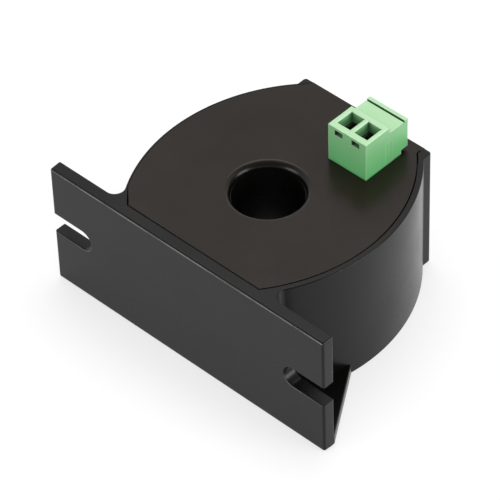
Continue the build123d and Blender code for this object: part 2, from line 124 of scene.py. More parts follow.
class HousingSettings(bpy.types.PropertyGroup):
    """Sizes and colours of the moulded housing"""

    border: length("Flange border radius", "Rounding round the flange's front face", 0.6 * MM)
    edge: length("Edge radius", "Rounding of the other outer edges", 0.35 * MM)
    back_corner: length("Back corner radius", "Rounding of the back plate's upright corners", 0.8 * MM)
    barrel_half_width: length("Barrel half width", "From the bore's axis to the barrel's side", 30.8 * MM)
    side_radius: length("Side radius", "Radius of the barrel's two shallow side arcs", 44.0 * MM)
    barrel_middle: length("Barrel middle", "Where the barrel is widest, behind the bore's axis", 1.6 * MM)
    root_radius: length("Root radius", "Hollow corner between the barrel and the flange", 2.4 * MM)
    back_width: length("Back width", "Width of the flat back plate", 39.0 * MM)
    slot_width: length("Slot width", "Height of the screw slots in the flange", 5.6 * MM)
    slot_depth: length("Slot depth", "How far the slots run in from the flange's ends", 12.0 * MM)
    slot_middle: length("Slot middle", "Height of the slots' middle line", 17.45 * MM)
    slot_edge: length("Slot edge radius", "Rounding of the slots' edges", 0.25 * MM)
    wall: length("Wall", "Thickness of the barrel's wall", 2.4 * MM)
    back_wall: length("Back wall", "Thickness of the back plate", 2.5 * MM)
    floor: length("Floor", "Thickness of the floor", 2.0 * MM)
    bore_radius: length("Bore radius", "Radius of the conductor's bore", 8.5 * MM)
    bore_wall: length("Bore wall", "Thickness of the tube round the bore", 1.6 * MM)
    web_thick: length("Web thickness", "Thickness of the two bottom webs", 3.0 * MM)
    web_end: length("Web end", "How far forward of the bore's axis the webs meet the barrel", 5.1 * MM)
    web_setback: length("Web setback", "How far inside the barrel's side the webs' ends start", 0.5 * MM)
    colour: colour("Colour", "Black of the moulded housing", "0b0b0a")
    # Painted highlight: grey laid along the flange's front top edge, where a highlight falls
    highlighted: colour("Rubbed colour", "Grey of the plastic where the flange's edge is rubbed", "6e6e6b")


class LidSettings(bpy.types.PropertyGroup):
    """Sizes and colour of the inset lid"""

    rim: length("Rim", "Width of the housing's rim to the right of the lid", 1.3 * MM)
    gap: length("Gap", "Gap between the lid and the rim", 0.3 * MM)
    close_side: length("Close side", "How near the lid comes to the outer edge on its left side", 0.42 * MM)
    close_from: length("Close from", "How far forward of the bore's axis the close side starts", 20.1 * MM)
    left_corner: length("Left corner", "Half width of the lid at its left front corner", 20.0 * MM)
    tab_width: length("Tab width", "Width of the part of the lid that closes the back wall", 34.6 * MM)
    gap_end: length("Gap end", "How far before the back face the gap beside the tab ends", 1.3 * MM)
    opening_gap: length("Opening gap", "Gap between the lid and the terminal block's foot", 0.15 * MM)
    opening_back: length("Opening back gap", "The same gap behind the foot", 0.7 * MM)
    overhang: length("Overhang", "How far the terminal block's back hangs over behind its foot", 2.2 * MM)
    post: length("Post radius", "Radius of the staked posts", 0.9 * MM)
    post_shoulder: length("Post shoulder radius", "Radius of the posts' shoulders above the board", 2.0 * MM)
    post_head: length("Post head radius", "Radius of the staked heads under the board", 1.6 * MM)
    post_head_height: length("Post head height", "Height of the staked heads", 0.8 * MM)
    edge: length("Edge radius", "Rounding of the lid's top edge", 0.2 * MM)
    lip: length("Lip width", "Width of the bore's rolled lip", 1.75 * MM)
    lip_depth: length("Lip depth", "Depth of the bore's rolled lip", 1.95 * MM)
    bore_step: length("Bore step", "How much larger the lid's hole is in radius than the bore", 0.1 * MM)
    colour: colour("Colour", "Brownish black of the lid", "1d1610")


class TerminalSettings(bpy.types.PropertyGroup):
    """Finish of the terminal block and the key in its side"""

    edge: length("Edge radius", "Rounding of the block's edges", 0.2 * MM)
    metal_edge: length("Metal edge radius", "Rounding of the screws', cages' and contacts' edges", 0.06 * MM)
    # Painted highlight: width of the pale line along the block's edges
    highlight_width: length("Edge line", "Width of the paler line along the block's edges", 0.3 * MM)
    body: colour("Body colour", "Green of the block's sides near the lid", "69bd75")
    # Painted light: paler green laid on the top and high on the sides
    pale: colour("Pale colour", "Paler green of its top, where the light goes in", "aad5a6")
    # Painted highlight: palest green along the block's edges
    rim: colour("Rim colour", "Palest green along its edges", "c6e0c3")
    # Painted shade: dark green down in the wire entries and windows, within the reach below
    painted_shade_tone: colour("Deep colour", "Dark green down in the wire entries and windows", "16391c")
    hollow: length("Hollow", "How far round a spot other walls must be to darken it", 3.5 * MM)
    groove_front: length("Groove front", "Front of the groove in the block's side", 23.5 * MM)
    groove_back: length("Groove back", "Back of that groove", 25.7 * MM)
    groove_depth: length("Groove depth", "Depth of that groove", 0.35 * MM)
    groove_height: length("Groove height", "Height of that groove above the lid", 6.6 * MM)
    key_inset: length("Key inset", "How far the plain key in the side groove stays inside it", 0.04 * MM)
    screw: colour("Screw colour", "Nickel on the clamp screws", "c9c8c2")
    cage: colour("Cage colour", "Dull nickel on the wire cages", "77746c")
    contact: colour("Contact colour", "Tin on the contacts", "d4d2cc")


class CoilSettings(bpy.types.PropertyGroup):
    """Colours of the coil"""

    core: colour("Core colour", "Wound steel strip", "6a6b6e")
    insulation: colour("Insulation colour", "Film round the core", "c9a34a")
    copper: colour("Copper colour", "Enamelled copper wire", "b5622c")
    tape: colour("Tape colour", "Outer polyester tape", "d8b23a")
    pad: colour("Pad colour", "Foam under the coil", "2a2a2a")
    lead: colour("Lead colour", "Insulation of the two leads", "a02020")


class BoardSettings(bpy.types.PropertyGroup):
    """Colours of the board and its parts"""

    mask: colour("Board colour", "Solder mask of the board", "1d5c34")
    epoxy: colour("Epoxy colour", "Moulded bodies of the rectifier and the switching device", "232323")
    sleeve: colour("Sleeve colour", "Sleeve of the capacitor", "23263f")
    varistor: colour("Varistor colour", "Dipped coating of the varistor", "2b4f9a")
    resistor: colour("Resistor colour", "Dipped coating of the resistors", "c8b08a")
    diode: colour("Diode colour", "Glass of the zener diode", "a4442a")


class StageSettings(bpy.types.PropertyGroup):
    """Floor, lights and camera"""

    floor_size: length("Floor size", "Side of the square floor", 4.0)
    floor_colour: colour("Floor colour", "Pale floor", "a0a0a0")
    veil: FloatProperty(name="Veil", description="White added to the floor for the camera and reflections",
                        default=0.65)
    top_power: FloatProperty(name="Top light", description="Power of the soft light overhead", default=2.6,
                             unit="POWER")
    back_power: FloatProperty(name="Back light", description="Power of the soft light high up at the back",
                              default=2.8, unit="POWER")
    left_power: FloatProperty(name="Left light", description="Power of the soft light in front on the left",
                              default=3.2, unit="POWER")
    right_power: FloatProperty(name="Right light", description="Power of the soft light behind on the right",
                               default=4.8, unit="POWER")
    surround: FloatProperty(name="Surround", description="Strength of the light from all round", default=0.6)
    ceiling: FloatProperty(name="Ceiling", default=0.25,
                           description="What reflections see of the dim room above the camera")
    azimuth: FloatProperty(name="Azimuth", description="Camera's angle round the object",
                           default=math.radians(44.633), unit="ROTATION")
    elevation: FloatProperty(name="Elevation", description="Camera's angle above the floor",
                             default=math.radians(44.162), unit="ROTATION")
    roll: FloatProperty(name="Roll", description="Camera's turn about its own axis",
                        default=math.radians(2.102), unit="ROTATION")
    distance: length("Distance", "Camera's distance from the point it looks at", 0.81297)
    lens: FloatProperty(name="Lens", description="Focal length for a 36 mm wide picture", default=252.22)
    aim: FloatVectorProperty(name="Aim", description="Point that the camera looks at",
                             default=(-0.008664, 0.002299, 0.008042), subtype="TRANSLATION", size=3)


def arc(centre, radius, start, end, step=3.0):
    """Points along an arc between two angles in degrees, both ends included."""
    count = max(2, math.ceil(abs(end - start) / step))
    angles = [math.radians(start + (end - start) * i / count) for i in range(count + 1)]
    return [(centre[0] + radius * math.cos(a), centre[1] + radius * math.sin(a)) for a in angles]


def circle(radius, step=3.0):
    """Closed outline of a circle round the bore's axis."""
    return arc((0.0, 0.0), radius, 0, 360, step)[:-1]


def mirrored(half):
    """Closed outline from its right half, which starts and ends on the middle line."""
    return half + [(-x, y, *rest) for x, y, *rest in reversed(half[1:-1])]


def with_radius(outline, radius):
    """Outline with one edge radius for all its points."""
    return [(x, y, radius) for x, y, *_ in outline]


def side_normals(points, longest=2.5):
    """Outward mitred normals of a counter-clockwise outline, none longer than the given length."""
    normals = []
    count = len(points)
    for i in range(count):
        before, here, after = (Vector(points[(i + k) % count][:2]) for k in (-1, 0, 1))
        first, second = (here - before).normalized(), (after - here).normalized()
        normal = Vector((first.y + second.y, -first.x - second.x)).normalized()
        normals.append(normal / max(1 / longest, normal.dot(Vector((first.y, -first.x)))))
    return normals


def loft(name, outline, stations, place=Matrix.Identity(4)):
    """Closed mesh through copies of an outline. A station is a height, the share of the edge radius added to
    it and the share taken off all round. A point may carry its own edge radius as a third value."""
    radii = [p[2] if len(p) > 2 else 1.0 for p in outline]
    normals = side_normals(outline)
    verts, faces = [], []
    count = len(outline)
    for height, rise, inset in stations:
        for point, normal, radius in zip(outline, normals, radii):
            x, y = point[0] - normal.x * inset * radius, point[1] - normal.y * inset * radius
            verts.append(place @ Vector((x, y, height + rise * radius)))
    for ring in range(len(stations) - 1):
        for i in range(count):
            a, b = ring * count + i, ring * count + (i + 1) % count
            faces.append((a, b, b + count, a + count))
    faces.append(tuple(reversed(range(count))))
    faces.append(tuple(range((len(stations) - 1) * count, len(stations) * count)))
    mesh = bpy.data.meshes.new(name)
    mesh.from_pydata(verts, [], faces)
    mesh.validate()
    obj = bpy.data.objects.new(name, mesh)
    bpy.context.scene.collection.objects.link(obj)
    return obj


def rounded(low, high, steps=6, at_low=True):
    """Stations of a solid between two heights, with its upper edges rounded, and its lower ones if wanted."""
    quarter = [math.pi / 2 * i / steps for i in range(steps + 1)]
    bottom = [(low, 1 - math.cos(a), 1 - math.sin(a)) for a in quarter] if at_low else [(low, 0, 0)]
    return bottom + [(high, math.cos(a) - 1, 1 - math.sin(a)) for a in reversed(quarter)]


def flared(low, high, steps=6):
    """Stations of a cutter whose mouths flare out, so that it leaves rounded edges at those heights."""
    quarter = [math.pi / 2 * i / steps for i in range(steps + 1)]
    bottom = [(low - PAST, 0, -1)] + [(low, 1 - math.cos(a), math.sin(a) - 1) for a in quarter]
    top = [(high, math.cos(a) - 1, math.sin(a) - 1) for a in reversed(quarter)] + [(high + PAST, 0, -1)]
    return bottom + top


def combine(obj, tool, operation):
    """Cuts the tool out of the object, or joins it on, and deletes the tool."""
    modifier = obj.modifiers.new("combine", "BOOLEAN")
    modifier.operation = operation
    modifier.object = tool
    modifier.solver = "EXACT"
    evaluated = obj.evaluated_get(bpy.context.evaluated_depsgraph_get())
    mesh = bpy.data.meshes.new_from_object(evaluated)
    obj.modifiers.clear()
    obj.data = mesh
    bpy.data.objects.remove(tool)


def settle(obj, material, body="root", replaces=()):
    """Shading, finish and place in the frame of one new piece."""
    mesh = obj.data
    mesh.name = obj.name
    mesh.polygons.foreach_set("use_smooth", [True] * len(mesh.polygons))
    mesh.set_sharp_from_angle(angle=SHADED_EDGE)
    weighted = obj.modifiers.new("flat faces", "WEIGHTED_NORMAL")
    weighted.keep_sharp = True
    mesh.materials.clear()
    mesh.materials.append(material)
    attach(obj, body)
    if replaces:
        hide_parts(*replaces)


def dress(node, material, edge=0.0):
    """Finish on a CAD node, with its edges rounded where a radius is given."""
    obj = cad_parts[node]
    for slot in obj.material_slots:
        slot.link = "OBJECT"
        slot.material = material
    if edge:
        flat = obj.modifiers.new("flat faces", "DECIMATE")
        flat.decimate_type = "DISSOLVE"
        flat.angle_limit = FLAT_FACE
        bevel = obj.modifiers.new("edges", "BEVEL")
        bevel.width = edge
        bevel.segments = 2
        bevel.limit_method = "ANGLE"
        bevel.angle_limit = ROUNDED_EDGE
        bevel.harden_normals = True


def add_node(tree, kind, settings=None, links=None):
    """Shader node with its attributes and socket values set, and its inputs linked. A socket goes by its
    name, or by its number where several have one name."""
    node = tree.nodes.new(kind)
    for key, value in (settings or {}).items():
        if isinstance(key, int) or key in node.inputs:
            node.inputs[key].default_value = value
        else:
            setattr(node, key, value)
    for key, source in (links or {}).items():
        tree.links.new(source, node.inputs[key])
    return node


def blank_material(name):
    """New material with an empty tree and its output node."""
    material = bpy.data.materials.new(name)
    material.use_nodes = True
    tree = material.node_tree
    tree.nodes.clear()
    return material, tree, add_node(tree, "ShaderNodeOutputMaterial")


def cycles_per_metre(size_mm):
    """Scale of a pattern whose features are this many millimetres across."""
    return 1.0 / (size_mm * MM)


def grained(name, base, rough, grain_mm, depth_mm, tint=0.12, patch_mm=9.0, **surface):
    """Plastic or metal with a fine surface grain, and soft patches where gloss and tone change slightly."""
    material, tree, output = blank_material(name)
    place = add_node(tree, "ShaderNodeTexCoord").outputs["Object"]
    grain, patch = (add_node(tree, "ShaderNodeTexNoise", {"Scale": cycles_per_metre(size), "Detail": detail},
                             {"Vector": place}).outputs["Fac"]
                    for size, detail in ((grain_mm, 3.0), (patch_mm, 4.0)))
    dark = [c * (1 - tint) for c in base] + [1.0]
    light = [min(1.0, c * (1 + tint)) for c in base] + [1.0]
    tone = add_node(tree, "ShaderNodeMix", {"data_type": "RGBA", "A": dark, "B": light}, {"Factor": patch})
    gloss = add_node(tree, "ShaderNodeMapRange",
                     {"From Min": 0.3, "From Max": 0.7, "To Min": rough - 0.04, "To Max": rough + 0.05},
                     {"Value": patch})
    bump = add_node(tree, "ShaderNodeBump", {"Strength": 1.0, "Distance": depth_mm * MM}, {"Height": grain})
    shader = add_node(tree, "ShaderNodeBsdfPrincipled", surface,
                      {"Base Color": tone.outputs["Result"], "Roughness": gloss.outputs["Result"],
                       "Normal": bump.outputs["Normal"]})
    tree.links.new(shader.outputs["BSDF"], output.inputs["Surface"])
    return material


def lay_over(material, tone, share):
    """Lays another tone over a material's own colour, by a share that its tree works out."""
    tree = material.node_tree
    own = next(n for n in tree.nodes if n.type == "BSDF_PRINCIPLED").inputs["Base Color"]
    mix = add_node(tree, "ShaderNodeMix", {"data_type": "RGBA", "B": (*tone, 1.0)},
                   {"Factor": share, "A": own.links[0].from_socket})
    tree.links.new(mix.outputs["Result"], own)


def moulded_abs(name, base, rough):
    """Moulded ABS from a lightly spark-eroded tool: near black, with a satin sheen that the fine grain
    halves. The grain is felt more than seen, and drawn coarser than a real one, which wouldn't show."""
    sheen = {"IOR": 1.53, "Specular IOR Level": 0.195}
    return grained(name, base, rough, grain_mm=0.25, depth_mm=0.004, tint=0.10, patch_mm=14.0, **sheen)


def paint_edge_highlight(material, grey):
    """Paints a grey highlight on the lower half of the rounding on upper edges that face forward. The grey
    comes and goes over a few millimetres."""
    tree = material.node_tree
    normal = add_node(tree, "ShaderNodeNewGeometry").outputs["Normal"]
    facing = add_node(tree, "ShaderNodeSeparateXYZ", links={"Vector": normal}).outputs
    place = add_node(tree, "ShaderNodeTexCoord").outputs["Object"]
    uneven = add_node(tree, "ShaderNodeTexNoise", {"Scale": cycles_per_metre(5.0), "Detail": 3.0},
                      {"Vector": place}).outputs["Fac"]
    # What each share goes by, where it is least and where it is whole, and its least
    limits = ((facing["Z"], 0.06, 0.2, 0.0), (facing["Z"], 0.65, 0.5, 0.0), (facing["Y"], -0.55, -0.8, 0.0),
              (uneven, 0.3, 0.6, 0.4))
    shares = [add_node(tree, "ShaderNodeMapRange", {"From Min": start, "From Max": whole, "To Min": least},
                       {"Value": value}).outputs["Result"] for value, start, whole, least in limits]
    product = shares[0]
    for share in shares[1:]:
        product = add_node(tree, "ShaderNodeMath", {"operation": "MULTIPLY"},
                           {0: product, 1: share}).outputs["Value"]
    lay_over(material, grey, product)
    return material


def painted_light_share(tree, low, high):
    """Share of painted light on a face: the more it faces up, and up to half high on the sides."""
    here = add_node(tree, "ShaderNodeNewGeometry").outputs
    height = add_node(tree, "ShaderNodeSeparateXYZ", links={"Vector": here["Position"]}).outputs["Z"]
    upward = add_node(tree, "ShaderNodeSeparateXYZ", links={"Vector": here["Normal"]}).outputs["Z"]
    rise = add_node(tree, "ShaderNodeMapRange", {"From Min": low, "From Max": high, "To Max": 0.5},
                    {"Value": height}).outputs["Result"]
    return add_node(tree, "ShaderNodeMath", {"operation": "MAXIMUM"}, {0: rise, 1: upward}).outputs["Value"]


def edge_highlight_share(tree, width, most):
    """Share of a painted highlight, at its most along edges, where a normal rounded over the width lies along
    no axis.
    """
    normal = add_node(tree, "ShaderNodeBevel", {"samples": 8, "Radius": width}).outputs["Normal"]
    size = add_node(tree, "ShaderNodeVectorMath", {"operation": "ABSOLUTE"}, {0: normal}).outputs["Vector"]
    parts = add_node(tree, "ShaderNodeSeparateXYZ", links={"Vector": size}).outputs
    flatness = parts["X"]
    for axis in "YZ":
        flatness = add_node(tree, "ShaderNodeMath", {"operation": "MAXIMUM"},
                            {0: flatness, 1: parts[axis]}).outputs["Value"]
    return add_node(tree, "ShaderNodeMapRange", {"From Min": 0.98, "From Max": 0.82, "To Max": most},
                    {"Value": flatness}).outputs["Result"]


def painted_shade_share(tree, reach):
    """Share of painted shade, rising to one where walls of the same piece stand close round a spot."""
    openness = add_node(tree, "ShaderNodeAmbientOcclusion",
                        {"samples": 8, "only_local": True, "Distance": reach}).outputs["AO"]
    return add_node(tree, "ShaderNodeMapRange", {"From Min": 0.85, "From Max": 0.35},
                    {"Value": openness}).outputs["Result"]


def moulded_nylon(name, s, low, high, edge_line=0.85):
    """Moulded polyamide 66 with a waxy sheen. Painted light makes the block look translucent: deeper green
    low on the sides, paler on the top and high on the sides, and a painted highlight palest along the thin
    edges. Painted shade darkens its hollows."""
    material = grained(name, s.body, rough=0.34, grain_mm=0.2, depth_mm=0.003, tint=0.05, patch_mm=4.0,
                       IOR=1.53)
    tree = material.node_tree
    # Painted light on the top and high on the sides
    lay_over(material, s.pale, painted_light_share(tree, low, high))
    # Painted highlight along the edges
    lay_over(material, s.rim, edge_highlight_share(tree, s.highlight_width, edge_line))
    # Painted shade where the block's own walls stand close
    lay_over(material, s.painted_shade_tone, painted_shade_share(tree, s.hollow))
    return material


def plated(name, base, rough):
    """Barrel-plated nickel or tin: bright, slightly frosted metal with fine pits."""
    return grained(name, base, rough, grain_mm=0.12, depth_mm=0.002, tint=0.06, patch_mm=1.5, Metallic=1.0)


def barrel_centre():
    """Centre of the arc on the barrel's right side."""
    s = bpy.context.scene.switch_housing
    return s.barrel_half_width - s.side_radius, s.barrel_middle


def barrel_x(y, inset=0.0):
    """Where the barrel's right side is at a value of y, set in from its outer face."""
    radius = bpy.context.scene.switch_housing.side_radius - inset
    centre_x, centre_y = barrel_centre()
    return centre_x + math.sqrt(radius ** 2 - (y - centre_y) ** 2)


def housing_outline():
    """Outline of the housing seen along the bore, from the middle of the flange's face all round."""
    s = bpy.context.scene.switch_housing
    front, back, end = HOUSING_LOW.y, HOUSING_HIGH.y, HOUSING_HIGH.x
    centre_x, centre_y = barrel_centre()
    root_y = FLANGE_BACK_Y + s.root_radius
    reach = s.side_radius + s.root_radius
    root_x = centre_x + math.sqrt(reach ** 2 - (root_y - centre_y) ** 2)
    root_angle = math.degrees(math.atan2(root_y - centre_y, root_x - centre_x))
    half_back = s.back_width / 2
    meet_angle = math.degrees(math.acos((half_back - centre_x) / s.side_radius))
    # The flange's back corners are rounded a little more than the other edges
    end_edge = s.edge * 1.2
    back_corner = (half_back - s.back_corner, back - s.back_corner)

    half = [(0.0, front, s.border)]
    half += with_radius(arc((end - s.border, front + s.border), s.border, -90, 0, step=15), s.border)
    half += with_radius(arc((end - end_edge, FLANGE_BACK_Y - end_edge), end_edge, 0, 90, step=15), s.edge)
    half += with_radius(arc((root_x, root_y), s.root_radius, 270, 180 + root_angle, step=6), s.edge)
    side = arc((centre_x, centre_y), s.side_radius, root_angle, meet_angle, WIDE_ARC_STEP)
    half += with_radius(side[1:], s.edge)
    half += with_radius(arc(back_corner, s.back_corner, 0, 90, step=10), s.edge)
    half.append((0.0, back, s.edge))
    return mirrored(half)


def barrel_half(inset, front, back):
    """Right half of the barrel's outline, set in from its outer face, between two values of y."""
    radius = bpy.context.scene.switch_housing.side_radius - inset
    centre = barrel_centre()
    low, high = (math.degrees(math.asin((y - centre[1]) / radius)) for y in (front, back))
    return [(0.0, front)] + arc(centre, radius, low, high, WIDE_ARC_STEP) + [(0.0, back)]


def lid_side(inset, front, tab, back):
    """Right half of a lid-shaped outline, set in from the barrel's outer face, with its tab to the back."""
    radius = bpy.context.scene.switch_housing.side_radius - inset
    centre_x, centre_y = barrel_centre()
    meet_y = centre_y + math.sqrt(radius ** 2 - (tab - centre_x) ** 2)
    return barrel_half(inset, front, meet_y)[:-1] + [(tab, back)]


def lid_outline(grow, back):
    """Outline of the lid, or of its pocket where it is grown by the gap. The lid sits hard over to the left,
    where it covers the rim and only a hairline shows. On the right the gap stops short of the back face."""
    lid = bpy.context.scene.switch_lid
    hairline = lid.gap * 0.05
    front, tab = FLANGE_BACK_Y - grow, lid.tab_width / 2 - lid.gap + grow
    right = lid_side(lid.rim + lid.gap - grow, front, tab, back)
    left_inset = lid.close_side - (2 * hairline if grow else 0.0)
    left_tab = tab if grow else lid.tab_width / 2 - hairline
    left = [(lid.left_corner + grow, front)] + lid_side(left_inset, -lid.close_from, left_tab, back)[1:]
    if not grow:
        stop, closed = HOUSING_HIGH.y - lid.gap_end, tab + lid.gap - hairline
        right[-1:] = [(tab, stop), (closed, stop), (closed, back)]
    return right + [(0.0, back)] + [(-x, y) for x, y in reversed(left)]


def slot_outline(side):
    """Slot of the flange in the plane of its face: round inside, and open past the flange's end."""
    s = bpy.context.scene.switch_housing
    radius, middle = s.slot_width / 2, s.slot_middle
    inner, outer = HOUSING_HIGH.x - s.slot_depth + radius, HOUSING_HIGH.x + s.wall
    points = arc((inner, middle), radius, 90, 270, step=10)
    points += [(outer, middle - radius), (outer, middle + radius)]
    return points if side > 0 else [(-x, z) for x, z in reversed(points)]


def web_outline(side):
    """Triangular web between the flange's end and the barrel, which runs into both."""
    s = bpy.context.scene.switch_housing
    foot, root, end = barrel_x(-s.web_end), barrel_x(FLANGE_BACK_Y) - s.wall, HOUSING_HIGH.x
    mid_flange = (HOUSING_LOW.y + FLANGE_BACK_Y) / 2
    points = [(root, mid_flange), (end, mid_flange), (end, FLANGE_BACK_Y), (foot - s.web_setback, -s.web_end),
              (foot - s.wall, -s.web_end)]
    return points if side > 0 else [(-x, y) for x, y in reversed(points)]


class SWITCH_OT_housing(bpy.types.Operator):
    """Builds the housing: one moulding with its flange, slots, barrel, webs, bore tube and lid pocket"""

    bl_idname = "switch.housing"
    bl_label = "Housing"

    def execute(self, context):
        s = context.scene.switch_housing
        top = HOUSING_HIGH.z
        housing = loft("housing_shell", housing_outline(), rounded(0.0, top))
        for side in (-1, 1):
            web = loft("web", with_radius(web_outline(side), s.edge), rounded(0.0, s.web_thick, steps=4))
            combine(housing, web, "UNION")
        pocket = loft("pocket", lid_outline(context.scene.switch_lid.gap, HOUSING_HIGH.y + PAST),
                      [(LID_BOTTOM, 0, 0), (top + PAST, 0, 0)])
        combine(housing, pocket, "DIFFERENCE")
        cavity = loft("cavity", mirrored(barrel_half(s.wall, FLANGE_BACK_Y, HOUSING_HIGH.y - s.back_wall)),
                      [(s.floor, 0, 0), (LID_BOTTOM + OVERLAP, 0, 0)])
        tube = loft("tube", circle(s.bore_radius + s.bore_wall), [(0.0, 0, 0), (LID_BOTTOM + PAST, 0, 0)])
        combine(cavity, tube, "DIFFERENCE")
        combine(housing, cavity, "DIFFERENCE")
        bore = loft("bore", circle(s.bore_radius), [(-PAST, 0, 0), (top, 0, 0)])
        combine(housing, bore, "DIFFERENCE")
        upright = Matrix.Rotation(math.radians(90), 4, "X")
        for side in (-1, 1):
            slot = loft("slot", with_radius(slot_outline(side), s.slot_edge),
                        flared(-FLANGE_BACK_Y, -HOUSING_LOW.y), upright)
            combine(housing, slot, "DIFFERENCE")
        # Painted highlight along the flange's front top edge
        plastic = paint_edge_highlight(moulded_abs("moulded_black_abs", s.colour, rough=0.27), s.highlighted)
        settle(housing, plastic, replaces=("housing",))
        return {"FINISHED"}


class SWITCH_OT_lid(bpy.types.Operator):
    """Builds the inset lid with its rolled bore lip, the terminal's opening and the staked posts"""

    bl_idname = "switch.lid"
    bl_label = "Lid"

    def execute(self, context):
        s, housing = context.scene.switch_lid, context.scene.switch_housing
        lid = loft("lid_plate", with_radius(lid_outline(0.0, HOUSING_HIGH.y), s.edge),
                   rounded(LID_BOTTOM, HOUSING_HIGH.z, steps=4, at_low=False))
        mouth_radius = housing.bore_radius + s.bore_step
        combine(lid, self.make_mouth(s, mouth_radius), "DIFFERENCE")
        combine(lid, self.make_opening(s), "DIFFERENCE")
        for side, from_wall, y in POSTS:
            combine(lid, self.make_post(s, side * (barrel_x(y, housing.wall) - from_wall), y), "UNION")
        plastic = moulded_abs("moulded_lid_abs", s.colour, rough=0.24)
        # Painted shade down the bore's lip
        self.paint_mouth_shade(plastic, housing.colour, mouth_radius, s.lip)
        settle(lid, plastic, replaces=("lid",))
        return {"FINISHED"}

    def make_mouth(self, s, radius):
        """Cutter for the bore's hole and its lip, which is a quarter of an ellipse."""
        top = HOUSING_HIGH.z
        curve = [math.radians(a) for a in range(90, -1, -6)]
        lip = [(top - s.lip_depth * (1 - math.cos(a)), 0, math.sin(a) - 1) for a in curve]
        return loft("mouth", with_radius(circle(radius), s.lip),
                    [(LID_BOTTOM - PAST, 0, 0)] + lip + [(top + PAST, 0, -1)])

    def make_opening(self, s):
        """Cutter for the opening that the terminal block's foot stands in."""
        low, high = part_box("terminal_body")
        left, right, front = low.x - s.opening_gap, high.x + s.opening_gap, low.y - s.opening_gap
        back = high.y - s.overhang + s.opening_back
        return loft("opening", [(left, front), (right, front), (right, back), (left, back)],
                    [(LID_BOTTOM - PAST, 0, 0), (HOUSING_HIGH.z + PAST, 0, 0)])

    def make_post(self, s, x, y):
        """One post: its shoulder over the board, its stem through it and its staked head below."""
        board_low, board_high = (v.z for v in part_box("circuit_board"))
        head_low = board_low - s.post_head_height
        # The staked head is narrower over the lower part of its height
        profile = [(head_low, s.post_head * 0.8), (head_low + s.post_head_height * 0.4, s.post_head),
                   (board_low, s.post_head), (board_low, s.post), (board_high, s.post),
                   (board_high, s.post_shoulder), (LID_BOTTOM + OVERLAP, s.post_shoulder)]
        return loft("post", circle(s.post_head, step=10.0), [(z, 0, s.post_head - r) for z, r in profile],
                    Matrix.Translation((x, y, 0)))

    def paint_mouth_shade(self, plastic, black, radius, lip):
        """Paints shade down the lip, taking the lid's brown over to the housing's black towards the bore."""
        tree = plastic.node_tree
        place = add_node(tree, "ShaderNodeTexCoord").outputs["Object"]
        flat = add_node(tree, "ShaderNodeVectorMath", {"operation": "MULTIPLY", 1: (1, 1, 0)}, {0: place})
        out = add_node(tree, "ShaderNodeVectorMath", {"operation": "LENGTH"}, {0: flat.outputs["Vector"]})
        inward = add_node(tree, "ShaderNodeMapRange",
                          {"From Min": radius + 0.7 * lip, "From Max": radius + 0.2 * lip},
                          {"Value": out.outputs["Value"]})
        lay_over(plastic, black, inward.outputs["Result"])


class SWITCH_OT_terminal(bpy.types.Operator):
    """Finishes the terminal block and its clamps, and adds the key in its side groove"""

    bl_idname = "switch.terminal"
    bl_label = "Terminal"

    def execute(self, context):
        s = context.scene.switch_terminal
        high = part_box("terminal_body")[1]
        nylon = moulded_nylon("moulded_green_nylon", s, HOUSING_HIGH.z, high.z)
        dress("terminal_body", nylon, s.edge)
        key_nylon = moulded_nylon("moulded_green_key", s, HOUSING_HIGH.z, high.z, edge_line=0.15)
        self.make_key(s, key_nylon, high.x)
        metals = {
            "clamp_screw": plated("nickel_plated_steel", s.screw, rough=0.28),
            "wire_cage": plated("nickel_plated_brass", s.cage, rough=0.45),
            "contact": plated("tin_plated_copper", s.contact, rough=0.36),
        }
        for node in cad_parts:
            for prefix, metal in metals.items():
                if node.startswith(prefix):
                    dress(node, metal, s.metal_edge)
        return {"FINISHED"}

    def make_key(self, s, nylon, side):
        """Plain key that nearly fills the groove in the block's side, with a faint painted highlight at its
        edges.
        """
        front, back = s.groove_front + s.key_inset, s.groove_back - s.key_inset
        inner, outer = side - s.groove_depth, side - s.key_inset / 2
        top = HOUSING_HIGH.z + s.groove_height - s.key_inset
        key = loft("terminal_key", [(inner, front), (outer, front), (outer, back), (inner, back)],
                   [(HOUSING_HIGH.z, 0, 0), (top, 0, 0)])
        settle(key, nylon)


class SWITCH_OT_coil(bpy.types.Operator):
    """Finishes the coil: core, insulation, winding, tape, pad and leads"""

    bl_idname = "switch.coil"
    bl_label = "Coil"

    def execute(self, context):
        s = context.scene.switch_coil
        # Silicon steel strip, rolled and wound: dull grey metal with a fine grain
        dress("ring_core", grained("wound_steel_strip", s.core, rough=0.35, grain_mm=0.1, depth_mm=0.004,
                                   Metallic=1.0))
        # Polyester film, wound over the core: smooth and slightly waxy
        dress("core_insulation", grained("insulation_film", s.insulation, rough=0.3, grain_mm=0.5,
                                         depth_mm=0.004))
        # Enamelled copper wire, machine wound: the varnish gives the metal a warm gloss
        dress("winding", grained("enamelled_copper", s.copper, rough=0.25, grain_mm=0.4, depth_mm=0.02,
                                 Metallic=0.8))
        # Polyester tape, wrapped by hand: glossy, with soft wrinkles
        dress("outer_tape", grained("polyester_tape", s.tape, rough=0.25, grain_mm=1.0, depth_mm=0.01))
        # Foam rubber, cut from sheet: pores and no gloss
        dress("coil_pad", grained("foam_rubber", s.pad, rough=0.9, grain_mm=0.3, depth_mm=0.1))
        # PVC, extruded over the leads' strands: smooth, with an even sheen
        lead = grained("lead_pvc", s.lead, rough=0.4, grain_mm=0.2, depth_mm=0.003)
        for node in ("coil_lead_1", "coil_lead_2"):
            dress(node, lead)
        return {"FINISHED"}


